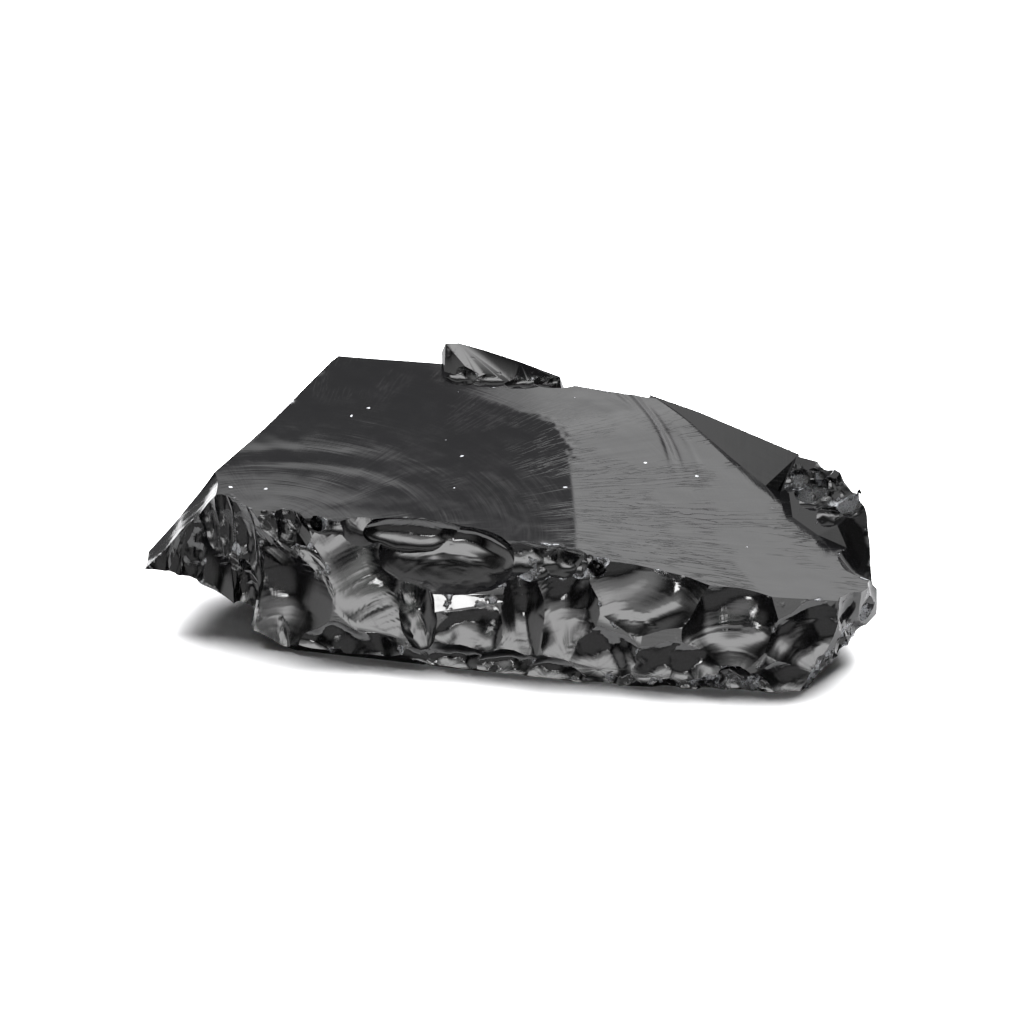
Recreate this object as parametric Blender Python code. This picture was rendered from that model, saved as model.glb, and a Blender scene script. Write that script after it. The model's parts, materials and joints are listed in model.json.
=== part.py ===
"""Obsidian chunk: one broken piece of black volcanic glass, about 70 mm long.

The piece is made the way a knapper makes one. A wedge-shaped block is cleaved to its
outline, three ridges are left standing along the back, and shallow bowl-shaped flakes are
struck off it. Each flake leaves a scar, and the sharp ribs are where two scars meet.

Metres, +Z up. It lies on the flat base at z = 0 with its long way along X.
"""
import math
import random

import bmesh
import bpy
from mathutils import Matrix, Vector

MM = 0.001

# ---------------------------------------------------------------- driving sizes, in mm
BLOCK_HEIGHT = 14.0
OUTLINE = [(-35.3, -8.5), (-35.3, -2.4), (-17.2, 28.6), (-7.4, 26.4), (6.5, 24.9), (14.2, 22.4),
           (27.5, 6.4), (33.8, -2.2), (33.8, -12.0), (25.8, -21.8), (-19.5, -17.0)]

# cleavage planes that trim the block, each through three points
CLEAVES = [
    ((-20.0, -14.0, 0.0), (-17.0, 6.0, 0.0), (-34.0, -6.0, 4.5)),      # under the left tip
    ((-17.0, 12.0, 0.0), (8.0, 10.0, 0.0), (-6.0, 26.0, 6.0)),         # under the back
    ((27.0, -21.4, 0.0), (25.0, -5.0, 0.0), (33.8, -12.0, 3.2)),       # under the right end
    ((-20.0, -13.2, 0.0), (8.0, -19.9, 0.0), (-9.0, -16.9, 2.2)),      # under the front
    ((-20.5, -7.3, 9.2), (6.2, -12.1, 9.6), (-20.0, -15.0, 0.0)),      # front wall
    ((17.0, -16.6, 8.0), (29.8, -17.0, 5.6), (25.6, -21.6, 0.4)),      # right front wall
]

# ridges left standing along the back, each the hull of a few corners
BACK_RIM = [(-7.4, 26.3, 6.0), (-6.8, 20.0, 4.0), (7.0, 24.7, 6.0), (6.0, 20.0, 4.0),
            (-7.2, 26.3, 13.8), (-6.9, 24.6, 12.2), (-6.8, 26.2, 14.8), (-5.4, 26.0, 14.9),
            (-2.8, 25.8, 14.2), (-3.2, 22.4, 11.9), (0.8, 22.8, 11.5), (0.8, 25.4, 13.1),
            (4.9, 25.0, 11.6)]
SHOULDER = [(13.6, 22.5, 6.0), (27.6, 6.2, 6.0), (23.0, 3.0, 4.0), (12.0, 18.0, 4.0),
            (14.0, 22.4, 10.7), (18.8, 16.9, 11.1), (26.1, 8.0, 11.1), (27.8, 5.9, 11.4),
            (24.4, 5.2, 8.2), (19.0, 14.6, 9.7)]
KNOB = [(25.0, 7.5, 6.0), (33.8, -2.2, 6.0), (33.8, -8.0, 6.0), (27.0, -3.0, 6.0),
        (27.5, 5.5, 11.4), (30.0, 2.6, 11.9), (32.4, -1.2, 11.8), (33.4, -3.6, 10.9),
        (26.5, 2.0, 9.6), (31.0, -4.5, 8.8)]

# A scar: deepest point, tilt of its normal from straight up, azimuth of the normal
# (0 = +X, 90 = +Y), length, width, depth, spin of the long side about the normal.
TOP_FACES = [
    ((-9.0, 5.0, 10.4), 4.4, -80, 60, 86, 1.85, -68),
    ((17.0, -5.0, 8.44), 7.4, -28, 60, 60, 0.9, 0),
    ((8.0, 18.0, 11.1), 4.7, -11, 60, 60, 0.9, 0),
]
LEFT_SCARS = [
    ((-24.0, 16.2, 9.8), 60, 159, 30, 110, 1.6, 0),
    ((-32.7, -2.0, 6.6), 42, -174, 14, 8, 0.25, 0),
    ((-28.8, -4.6, 5.9), 69, -103, 14, 8, 0.8, 0),
    ((-31.9, -4.0, 6.8), 54, -100, 6.4, 1.4, 0.15, -23),
    ((-31.2, -3.9, 6.5), 72, -112, 4.6, 1.2, 0.2, -8),
    ((-29.9, -3.9, 6.5), 76, -98, 5.7, 1.9, 0.25, -4),
    ((-28.4, -4.1, 7.1), 55, -84, 4.4, 1.1, 0.12, 9),
    ((-27.1, -4.8, 6.6), 56, -84, 5.9, 1.1, 0.12, 4),
    ((-26.5, -4.8, 7.2), 76, -100, 5.8, 0.7, 0.12, 16),
    ((-25.5, -5.4, 7.1), 60, -88, 5.3, 1.9, 0.2, 13),
    ((-25.1, -5.1, 8.9), 74, -110, 6.0, 1.1, 0.15, 66),
    ((-23.5, -6.2, 9.6), 55, -84, 4.4, 1.5, 0.15, 43),
]
FRONT_SCARS = [
    ((-21.0, -10.0, 4.6), 60, -110, 13, 12, 0.9, 8),
    ((-24.7, -6.8, 2.1), 54, -106, 4.3, 1.8, 0.3, 15),
    ((-14.0, -10.9, 5.4), 46, -96, 14.8, 6.4, 0.6, 31),
    ((-14.9, -13.8, 1.9), 76, -104, 4.0, 10.5, 0.5, 0),
    ((-6.1, -10.3, 6.0), 16, -95, 3.1, 4.4, 0.12, 0),
    ((-3.9, -15.0, 3.1), 52, -98, 5.0, 7.6, 0.6, 0),
    ((1.0, -14.7, 4.2), 49, -99, 9.4, 4.9, 0.6, 6),
    ((5.4, -15.0, 4.8), 52, -104, 8.8, 5.9, 0.6, 8),
    ((10.8, -15.1, 6.0), 44, -92, 8.5, 10.8, 0.7, 0),
    ((8.1, -17.3, 3.1), 72, -100, 4.5, 7.0, 0.5, 0),
    ((13.5, -18.6, 3.0), 72, -95, 4.5, 7.0, 0.5, 0),
    ((-6.0, -15.9, 1.0), 74, -100, 2.4, 6.0, 0.35, 0),
    ((-1.0, -16.95, 1.0), 74, -98, 2.4, 6.0, 0.35, 0),
    ((3.4, -17.9, 1.0), 74, -102, 2.4, 5.0, 0.35, 0),
    ((-18.7, -9.3, 7.0), 44, -92, 7.6, 1.6, 0.15, 34),
    ((-17.6, -10.0, 6.5), 60, -110, 8.0, 1.0, 0.12, 47),
    ((-9.9, -10.8, 6.9), 60, -92, 6.1, 1.9, 0.15, 16),
    ((-10.8, -10.7, 6.8), 47, -84, 6.4, 0.9, 0.1, 20),
    ((-8.4, -12.1, 6.0), 48, -88, 7.8, 0.9, 0.12, 12),
    ((-9.5, -13.6, 3.9), 50, -95, 3.8, 1.3, 0.15, 32),
    ((-21.6, -11.0, 2.6), 50, -88, 5.3, 1.2, 0.15, 5),
]
# small scars of the bevel between the big top face and the front wall
BEVEL_SCARS = [
    ((-8.6, -5.6, 8.6), 64, -97, 2.3, 5.6, 0.3, 0),
    ((-16.9, -7.1, 9.5), 40, -100, 3.4, 6.5, 0.45, 0),
    ((-13.8, -6.8, 9.0), 30, -95, 4.6, 3.6, 0.5, 0),
    ((-20.4, -5.6, 9.4), 62, -112, 3.0, 1.8, 0.3, 10),
    ((-2.7, -10.3, 8.5), 42, -97, 2.4, 2.4, 0.35, 0),
    ((0.5, -10.4, 7.9), 41, -95, 3.0, 5.8, 0.4, 0),
    ((4.1, -11.3, 7.9), 38, -105, 2.6, 4.2, 0.35, 0),
    ((-22.1, -6.0, 10.0), 70, -100, 2.9, 1.1, 0.12, 39),
    ((-20.9, -5.2, 9.8), 56, -86, 2.8, 1.0, 0.12, 30),
]
RIGHT_SCARS = [
    ((20.0, -17.2, 4.6), 51, -94, 10.0, 10.5, 1.1, 0),
    ((27.4, -17.5, 4.1), 60, -84, 7.0, 9.5, 0.7, 0),
    ((31.2, -14.8, 4.0), 66, -60, 4.6, 3.6, 0.5, 0),
    ((25.1, -20.1, 1.7), 74, -84, 3.4, 8.0, 0.5, 0),
    ((17.1, -19.4, 2.2), 66, -104, 4.0, 6.5, 0.5, 0),
    ((31.7, -6.0, 6.4), 44, -38, 9.5, 5.0, 0.6, 10),
    ((32.9, -12.5, 6.0), 70, -12, 6.0, 2.6, 0.3, 0),
]
KNOB_SCARS = [
    ((31.9, -2.7, 9.7), 64, -78, 2.6, 3.6, 0.45, 0),
    ((29.6, -2.0, 8.9), 66, -100, 2.0, 3.4, 0.4, 0),
    ((28.1, 0.4, 9.4), 60, -110, 1.8, 3.6, 0.3, 0),
    ((29.4, 2.5, 11.1), 30, -110, 3.0, 2.4, 0.35, 0),
    ((30.9, -0.1, 11.1), 45, -60, 2.6, 2.4, 0.3, 0),
    ((26.9, 3.6, 9.7), 40, -140, 3.0, 3.2, 0.35, 0),
]
BACK_RIDGE_SCARS = [
    ((-4.7, 23.8, 12.2), 58, -112, 1.8, 2.8, 0.35, 0),
    ((-2.2, 23.2, 12.1), 48, -85, 1.7, 3.4, 0.3, 0),
    ((1.2, 23.5, 11.6), 42, -72, 1.7, 3.8, 0.3, 0),
    ((4.3, 24.3, 11.1), 38, -80, 1.4, 3.0, 0.2, 0),
]
# the back and the underside, broken more coarsely
BACK_SCARS = [
    ((-0.5, 24.7, 7.5), 98, 84, 9, 14, 0.9, 0),
    ((10.0, 22.9, 6.5), 100, 70, 8, 9, 0.8, 0),
    ((16.8, 17.8, 6.5), 104, 40, 8, 12, 0.9, 0),
    ((24.2, 9.4, 6.5), 106, 42, 8, 10, 0.8, 0),
    ((-13.5, 25.4, 8.0), 108, 80, 11, 12, 1.2, 0),
    ((-24.6, 9.5, 5.0), 118, 150, 9, 12, 0.9, 0),
    ((-21.2, 17.0, 7.5), 98, 154, 8, 11, 0.9, 0),
    ((-29.0, -1.0, 3.2), 152, 175, 11, 10, 0.9, 0),
    ((-21.5, 4.0, 1.4), 160, 160, 10, 13, 0.8, 0),
    ((31.5, -6.0, 2.5), 130, 15, 8, 12, 0.9, 0),
    ((-14.0, 17.0, 2.6), 156, 110, 13, 15, 1.0, 0),
    ((5.0, 14.5, 2.4), 154, 75, 13, 18, 1.1, 0),
    ((19.0, 7.0, 2.6), 140, 50, 9, 14, 1.0, 0),
]

# crushed lower edge of the front: chips strung along this line
EDGE_LINE = [(-19.0, -14.2, 1.4), (-9.0, -16.3, 1.5), (3.0, -18.7, 1.5), (12.0, -20.0, 1.3),
             (20.0, -20.9, 1.0), (26.0, -21.3, 0.8), (32.6, -13.0, 3.0)]
EDGE_CHIPS = 30
EDGE_SEED = 11

# how far a flake extends above the scar it leaves, and its rings outside the scar
SHORTEST_REACH = 1.5
LONGEST_REACH = 9.0
COARSE_RINGS = 4
# scar size above which (mm), rings, spokes
FACETING = [(7.0, 4, 20), (3.0, 3, 13), (0.0, 3, 9)]

BLACK_GLASS = (0.02, 0.02, 0.022, 1.0)
SHARP_ANGLE = math.radians(20.0)


# ---------------------------------------------------------------- helpers
def clear_scene():
    for old in list(bpy.data.objects):
        bpy.data.objects.remove(old, do_unlink=True)


def collection(name):
    made = bpy.data.collections.new(name)
    bpy.context.scene.collection.children.link(made)
    return made


def mesh_object(name, bm, where):
    bmesh.ops.recalc_face_normals(bm, faces=bm.faces)
    mesh = bpy.data.meshes.new(name)
    bm.to_mesh(mesh)
    bm.free()
    made = bpy.data.objects.new(name, mesh)
    where.objects.link(made)
    return made


def keep_as_tool(tool):
    tool.display_type = 'WIRE'
    tool.hide_render = True
    return tool


def plane_of(points, inside):
    """Outward normal and a point of the plane through three points."""
    first, second, third = [Vector(p) for p in points]
    normal = (second - first).cross(third - first).normalized()
    if normal.dot(inside - first) > 0.0:
        normal.negate()
    return first, normal


# ---------------------------------------------------------------- the block and its ridges
def block(where):
    """The block cut to its outline and trimmed by the cleavage planes."""
    bm = bmesh.new()
    bmesh.ops.create_cube(bm, size=120.0)
    inside = Vector((0.0, 0.0, 6.0))
    cuts = [(Vector((0.0, 0.0, 0.0)), Vector((0.0, 0.0, -1.0))),
            (Vector((0.0, 0.0, BLOCK_HEIGHT)), Vector((0.0, 0.0, 1.0)))]
    for (x0, y0), (x1, y1) in zip(OUTLINE, OUTLINE[1:] + OUTLINE[:1]):
        cuts.append(plane_of(((x0, y0, 0.0), (x1, y1, 0.0), (x0, y0, 5.0)), inside))
    for points in CLEAVES:
        cuts.append(plane_of(points, inside))
    for point, normal in cuts:
        geom = list(bm.verts) + list(bm.edges) + list(bm.faces)
        bmesh.ops.bisect_plane(bm, geom=geom, dist=1e-5, plane_co=point, plane_no=normal,
                               clear_outer=True)
        open_edges = [edge for edge in bm.edges if edge.is_boundary]
        bmesh.ops.contextual_create(bm, geom=open_edges)
    bmesh.ops.scale(bm, vec=Vector((MM, MM, MM)), verts=bm.verts)
    return mesh_object("obsidian_chunk", bm, where)


def ridge(name, corners, where):
    """A standing ridge: the hull of its corners."""
    bm = bmesh.new()
    for corner in corners:
        bm.verts.new(Vector(corner) * MM)
    hull = bmesh.ops.convex_hull(bm, input=bm.verts)
    spare = [item for item in hull["geom_interior"] if isinstance(item, bmesh.types.BMVert)]
    bmesh.ops.delete(bm, geom=spare, context='VERTS')
    return keep_as_tool(mesh_object(name, bm, where))


# ---------------------------------------------------------------- flakes
def scar_axes(tilt, azimuth, spin):
    """Run, side and normal directions of a scar."""
    t, a, s = math.radians(tilt), math.radians(azimuth), math.radians(spin)
    normal = Vector((math.sin(t) * math.cos(a), math.sin(t) * math.sin(a), math.cos(t)))
    up = Vector((0.0, 0.0, 1.0))
    down = (normal * normal.dot(up) - up).normalized()
    side = normal.cross(down)
    run = down * math.cos(s) + side * math.sin(s)
    return run, normal.cross(run), normal


def flake(name, scar, rings, spokes, where):
    """A bowl-shaped flake: a sphere stretched to an ellipsoid, faceted finely where it cuts.

    Its radii of curvature come from the length, width and depth of the scar it leaves.
    Its third half-axis, the reach, only has to be taller than what it cuts away.
    """
    point, tilt, azimuth, length, width, depth, spin = scar
    reach = min(LONGEST_REACH, max(SHORTEST_REACH, 0.6 * math.sqrt(length * width)))
    half_length = length * math.sqrt(reach / (8.0 * depth))
    half_width = width * math.sqrt(reach / (8.0 * depth))
    run, side, normal = scar_axes(tilt, azimuth, spin)
    centre = Vector(point) + normal * reach

    # rings crowd round the deepest point, out to a little past the rim of the scar
    rim = math.acos(1.0 - min(1.0, 1.7 * depth / reach))
    spread = [rim * k / rings for k in range(rings)]
    spread += [rim + (math.pi - rim) * k / COARSE_RINGS for k in range(COARSE_RINGS + 1)]
    bm = bmesh.new()
    bmesh.ops.create_uvsphere(bm, u_segments=spokes, v_segments=len(spread) - 1, radius=1.0)
    for vert in bm.verts:
        ring = round(math.acos(max(-1.0, min(1.0, vert.co.z))) / math.pi * (len(spread) - 1))
        flat = math.sin(spread[ring])
        around = math.atan2(vert.co.y, vert.co.x)
        vert.co = (centre + run * (half_length * flat * math.cos(around))
                   + side * (half_width * flat * math.sin(around))
                   - normal * (reach * math.cos(spread[ring]))) * MM
    bmesh.ops.triangulate(bm, faces=bm.faces)
    return keep_as_tool(mesh_object(name, bm, where))


def faceting(scar):
    """Rings and spokes for a scar: the larger the scar, the finer."""
    for above, rings, spokes in FACETING:
        if max(scar[3], scar[4]) > above:
            return rings, spokes


def edge_chips():
    """Small chips strung along the crushed lower edge."""
    dice = random.Random(EDGE_SEED)
    chips = []
    steps = len(EDGE_LINE) - 1
    for k in range(EDGE_CHIPS):
        place = steps * (k + 0.5 + dice.uniform(-0.3, 0.3)) / EDGE_CHIPS
        leg = min(int(place), steps - 1)
        point = Vector(EDGE_LINE[leg]).lerp(Vector(EDGE_LINE[leg + 1]), place - leg)
        point.z += dice.uniform(-0.5, 0.5)
        size = dice.uniform(1.5, 2.7)
        facing = -98.0 + dice.uniform(-28.0, 28.0) + (45.0 if leg == steps - 1 else 0.0)
        chips.append((tuple(point), dice.uniform(62.0, 112.0), facing,
                      size * dice.uniform(0.6, 0.9), size * 1.2, dice.uniform(0.28, 0.42), 0))
    return chips


def strike(body, tool, operation):
    """Apply one flake or ridge to the body."""
    step = body.modifiers.new(tool.name, 'BOOLEAN')
    step.operation = operation
    step.solver = 'EXACT'
    step.object = tool


# ---------------------------------------------------------------- material and finish
def black_glass():
    made = bpy.data.materials.new("obsidian")
    made.use_nodes = True
    shader = made.node_tree.nodes["Principled BSDF"]
    shader.inputs["Base Color"].default_value = BLACK_GLASS
    shader.inputs["Roughness"].default_value = 0.08
    shader.inputs["IOR"].default_value = 1.5
    return made


def freeze(body):
    """Turn the finished stack into a plain mesh."""
    graph = bpy.context.evaluated_depsgraph_get()
    done = bpy.data.meshes.new_from_object(body.evaluated_get(graph))
    body.modifiers.clear()
    body.data = done


def stand_on_floor(body):
    """Put the origin at the middle of the bottom of the bounding box."""
    spots = [v.co for v in body.data.vertices]
    low = Vector([min(s[i] for s in spots) for i in range(3)])
    high = Vector([max(s[i] for s in spots) for i in range(3)])
    shift = Vector((-(low.x + high.x) / 2.0, -(low.y + high.y) / 2.0, -low.z))
    body.data.transform(Matrix.Translation(shift))


def build():
    clear_scene()
    shown = collection("obsidian chunk")
    tools = collection("obsidian chunk tools")
    body = block(shown)
    for k, scar in enumerate(TOP_FACES):
        strike(body, flake("top_face_%d" % k, scar, 7, 32, tools), 'DIFFERENCE')
    for name, corners in (("back_rim", BACK_RIM), ("shoulder", SHOULDER), ("knob", KNOB)):
        strike(body, ridge(name, corners, tools), 'UNION')
    groups = (("left", LEFT_SCARS), ("front", FRONT_SCARS), ("bevel", BEVEL_SCARS),
              ("right", RIGHT_SCARS), ("knob_chip", KNOB_SCARS),
              ("ridge_chip", BACK_RIDGE_SCARS), ("back", BACK_SCARS), ("edge", edge_chips()))
    for name, scars in groups:
        for k, scar in enumerate(scars):
            rings, spokes = faceting(scar)
            strike(body, flake("%s_%d" % (name, k), scar, rings, spokes, tools), 'DIFFERENCE')
    freeze(body)
    stand_on_floor(body)
    body.data.materials.clear()
    body.data.materials.append(black_glass())
    for face in body.data.polygons:
        face.material_index = 0
        face.use_smooth = True
    body.data.set_sharp_from_angle(angle=SHARP_ANGLE)


build()
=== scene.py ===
"""Obsidian chunk: the finished look of one broken piece of black volcanic glass.

The stone is struck again here as it was for the solid, with the same block, ridges and
scars, but every flake is a fine mesh that carries real fracture ripples, spreading in arcs
from the point where the blow fell. The edges are crushed by many tiny chips. One glass
material adds the finest ripples, the hackle and torn lines that run across them, crushed
spots and specks of dust.

Sizes are millimetres in the stone's working frame (X right, Y away, Z up, base at z = 0)
until the finished mesh is scaled to metres and moved onto the CAD box.
"""

import json
import math
import random

import bmesh
import bpy
import numpy as np
from mathutils import Matrix, Vector, kdtree

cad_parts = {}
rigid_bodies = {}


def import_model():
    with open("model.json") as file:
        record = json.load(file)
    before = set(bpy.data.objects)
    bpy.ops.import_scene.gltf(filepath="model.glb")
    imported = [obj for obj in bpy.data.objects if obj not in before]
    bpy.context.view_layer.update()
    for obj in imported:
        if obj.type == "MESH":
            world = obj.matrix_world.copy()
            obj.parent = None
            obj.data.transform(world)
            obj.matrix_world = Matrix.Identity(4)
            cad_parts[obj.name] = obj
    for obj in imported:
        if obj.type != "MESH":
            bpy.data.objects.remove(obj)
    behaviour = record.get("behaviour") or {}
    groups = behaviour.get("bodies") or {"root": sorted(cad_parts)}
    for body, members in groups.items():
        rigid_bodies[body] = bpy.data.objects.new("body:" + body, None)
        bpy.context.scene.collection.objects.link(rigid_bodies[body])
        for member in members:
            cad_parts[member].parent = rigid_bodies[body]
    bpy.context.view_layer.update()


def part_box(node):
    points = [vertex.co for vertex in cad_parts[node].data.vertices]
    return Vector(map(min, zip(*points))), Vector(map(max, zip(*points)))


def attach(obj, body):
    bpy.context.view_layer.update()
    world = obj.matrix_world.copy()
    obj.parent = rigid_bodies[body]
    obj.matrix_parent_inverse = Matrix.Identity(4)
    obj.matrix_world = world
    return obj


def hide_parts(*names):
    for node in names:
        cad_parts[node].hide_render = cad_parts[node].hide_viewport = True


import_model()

MM = 0.001
NODE = "obsidian_chunk"

# ---------------------------------------------------------------- the stone, in mm
BLOCK_HEIGHT = 14.0
OUTLINE = [(-35.3, -8.5), (-35.3, -2.4), (-17.2, 28.6), (-7.4, 26.4), (6.5, 24.9), (14.2, 22.4),
           (27.5, 6.4), (33.8, -2.2), (33.8, -12.0), (25.8, -21.8), (-19.5, -17.0)]

# cleavage planes that trim the block, each through three points
CLEAVES = [
    ((-20.0, -14.0, 0.0), (-17.0, 6.0, 0.0), (-34.0, -6.0, 4.5)),      # under the left tip
    ((-17.0, 12.0, 0.0), (8.0, 10.0, 0.0), (-6.0, 26.0, 6.0)),         # under the back
    ((27.0, -21.4, 0.0), (25.0, -5.0, 0.0), (33.8, -12.0, 3.2)),       # under the right end
    ((-20.0, -13.2, 0.0), (8.0, -19.9, 0.0), (-9.0, -16.9, 2.2)),      # under the front
    ((-20.5, -7.3, 9.2), (6.2, -12.1, 9.6), (-20.0, -15.0, 0.0)),      # front wall
    ((17.0, -16.6, 8.0), (29.8, -17.0, 5.6), (25.6, -21.6, 0.4)),      # right front wall
]

# ridges left standing along the back, each the hull of a few corners
BACK_RIM = [(-7.4, 26.3, 6.0), (-6.8, 20.0, 4.0), (7.0, 24.7, 6.0), (6.0, 20.0, 4.0),
            (-7.2, 26.3, 13.8), (-6.9, 24.6, 12.2), (-6.8, 26.2, 14.8), (-5.4, 26.0, 14.9),
            (-2.8, 25.8, 14.2), (-3.2, 22.4, 11.9), (0.8, 22.8, 11.5), (0.8, 25.4, 13.1),
            (4.9, 25.0, 11.6)]
SHOULDER = [(13.6, 22.5, 6.0), (27.6, 6.2, 6.0), (23.0, 3.0, 4.0), (12.0, 18.0, 4.0),
            (14.0, 22.4, 10.7), (18.8, 16.9, 11.1), (26.1, 8.0, 11.1), (27.8, 5.9, 11.4),
            (24.4, 5.2, 8.2), (19.0, 14.6, 9.7)]
KNOB = [(25.0, 7.5, 6.0), (33.8, -2.2, 6.0), (33.8, -8.0, 6.0), (27.0, -3.0, 6.0),
        (27.5, 5.5, 11.4), (30.0, 2.6, 11.9), (32.4, -1.2, 11.8), (33.4, -3.6, 10.9),
        (26.5, 2.0, 9.6), (31.0, -4.5, 8.8)]

# A scar: deepest point, tilt of its normal from straight up, azimuth of the normal
# (0 = +X, 90 = +Y), length, width, depth, spin of the long side about the normal.
TOP_FACES = [
    ((-9.0, 5.0, 10.4), 4.4, -80, 60, 86, 1.85, -68),
    ((17.0, -5.0, 8.44), 7.4, -28, 60, 60, 0.9, 0),
    ((8.0, 18.0, 11.1), 4.7, -11, 60, 60, 0.9, 0),
]
LEFT_SCARS = [
    ((-24.0, 16.2, 9.8), 60, 159, 30, 110, 1.6, 0),
    ((-32.7, -2.0, 6.6), 42, -174, 14, 8, 0.25, 0),
    ((-28.8, -4.6, 5.9), 69, -103, 14, 8, 0.8, 0),
    ((-31.9, -4.0, 6.8), 54, -100, 6.4, 1.4, 0.15, -23),
    ((-31.2, -3.9, 6.5), 72, -112, 4.6, 1.2, 0.2, -8),
    ((-29.9, -3.9, 6.5), 76, -98, 5.7, 1.9, 0.25, -4),
    ((-28.4, -4.1, 7.1), 55, -84, 4.4, 1.1, 0.12, 9),
    ((-27.1, -4.8, 6.6), 56, -84, 5.9, 1.1, 0.12, 4),
    ((-26.5, -4.8, 7.2), 76, -100, 5.8, 0.7, 0.12, 16),
    ((-25.5, -5.4, 7.1), 60, -88, 5.3, 1.9, 0.2, 13),
    ((-25.1, -5.1, 8.9), 74, -110, 6.0, 1.1, 0.15, 66),
    ((-23.5, -6.2, 9.6), 55, -84, 4.4, 1.5, 0.15, 43),
]
FRONT_SCARS = [
    ((-21.0, -10.0, 4.6), 60, -110, 13, 12, 0.9, 8),
    ((-24.7, -6.8, 2.1), 54, -106, 4.3, 1.8, 0.3, 15),
    ((-14.0, -10.9, 5.4), 46, -96, 14.8, 6.4, 0.6, 31),
    ((-14.9, -13.8, 1.9), 76, -104, 4.0, 10.5, 0.5, 0),
    ((-6.1, -10.3, 6.0), 16, -95, 3.1, 4.4, 0.12, 0),
    ((-3.9, -15.0, 3.1), 52, -98, 5.0, 7.6, 0.6, 0),
    ((1.0, -14.7, 4.2), 49, -99, 9.4, 4.9, 0.6, 6),
    ((5.4, -15.0, 4.8), 52, -104, 8.8, 5.9, 0.6, 8),
    ((10.8, -15.1, 6.0), 44, -92, 8.5, 10.8, 0.7, 0),
    ((8.1, -17.3, 3.1), 72, -100, 4.5, 7.0, 0.5, 0),
    ((13.5, -18.6, 3.0), 72, -95, 4.5, 7.0, 0.5, 0),
    ((-6.0, -15.9, 1.0), 74, -100, 2.4, 6.0, 0.35, 0),
    ((-1.0, -16.95, 1.0), 74, -98, 2.4, 6.0, 0.35, 0),
    ((3.4, -17.9, 1.0), 74, -102, 2.4, 5.0, 0.35, 0),
    ((-18.7, -9.3, 7.0), 44, -92, 7.6, 1.6, 0.15, 34),
    ((-17.6, -10.0, 6.5), 60, -110, 8.0, 1.0, 0.12, 47),
    ((-9.9, -10.8, 6.9), 60, -92, 6.1, 1.9, 0.15, 16),
    ((-10.8, -10.7, 6.8), 47, -84, 6.4, 0.9, 0.1, 20),
    ((-8.4, -12.1, 6.0), 48, -88, 7.8, 0.9, 0.12, 12),
    ((-9.5, -13.6, 3.9), 50, -95, 3.8, 1.3, 0.15, 32),
    ((-21.6, -11.0, 2.6), 50, -88, 5.3, 1.2, 0.15, 5),
]
# small scars of the bevel between the big top face and the front wall
BEVEL_SCARS = [
    ((-8.6, -5.6, 8.6), 64, -97, 2.3, 5.6, 0.3, 0),
    ((-16.9, -7.1, 9.5), 40, -100, 3.4, 6.5, 0.45, 0),
    ((-13.8, -6.8, 9.0), 30, -95, 4.6, 3.6, 0.5, 0),
    ((-20.4, -5.6, 9.4), 62, -112, 3.0, 1.8, 0.3, 10),
    ((-2.7, -10.3, 8.5), 42, -97, 2.4, 2.4, 0.35, 0),
    ((0.5, -10.4, 7.9), 41, -95, 3.0, 5.8, 0.4, 0),
    ((4.1, -11.3, 7.9), 38, -105, 2.6, 4.2, 0.35, 0),
    ((-22.1, -6.0, 10.0), 70, -100, 2.9, 1.1, 0.12, 39),
    ((-20.9, -5.2, 9.8), 56, -86, 2.8, 1.0, 0.12, 30),
]
RIGHT_SCARS = [
    ((20.0, -17.2, 4.6), 51, -94, 10.0, 10.5, 1.1, 0),
    ((27.4, -17.5, 4.1), 60, -84, 7.0, 9.5, 0.7, 0),
    ((31.2, -14.8, 4.0), 66, -60, 4.6, 3.6, 0.5, 0),
    ((25.1, -20.1, 1.7), 74, -84, 3.4, 8.0, 0.5, 0),
    ((17.1, -19.4, 2.2), 66, -104, 4.0, 6.5, 0.5, 0),
    ((31.7, -6.0, 6.4), 44, -38, 9.5, 5.0, 0.6, 10),
    ((32.9, -12.5, 6.0), 70, -12, 6.0, 2.6, 0.3, 0),
]
KNOB_SCARS = [
    ((31.9, -2.7, 9.7), 64, -78, 2.6, 3.6, 0.45, 0),
    ((29.6, -2.0, 8.9), 66, -100, 2.0, 3.4, 0.4, 0),
    ((28.1, 0.4, 9.4), 60, -110, 1.8, 3.6, 0.3, 0),
    ((29.4, 2.5, 11.1), 30, -110, 3.0, 2.4, 0.35, 0),
    ((30.9, -0.1, 11.1), 45, -60, 2.6, 2.4, 0.3, 0),
    ((26.9, 3.6, 9.7), 40, -140, 3.0, 3.2, 0.35, 0),
]
BACK_RIDGE_SCARS = [
    ((-4.7, 23.8, 12.2), 58, -112, 1.8, 2.8, 0.35, 0),
    ((-2.2, 23.2, 12.1), 48, -85, 1.7, 3.4, 0.3, 0),
    ((1.2, 23.5, 11.6), 42, -72, 1.7, 3.8, 0.3, 0),
    ((4.3, 24.3, 11.1), 38, -80, 1.4, 3.0, 0.2, 0),
]
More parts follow.
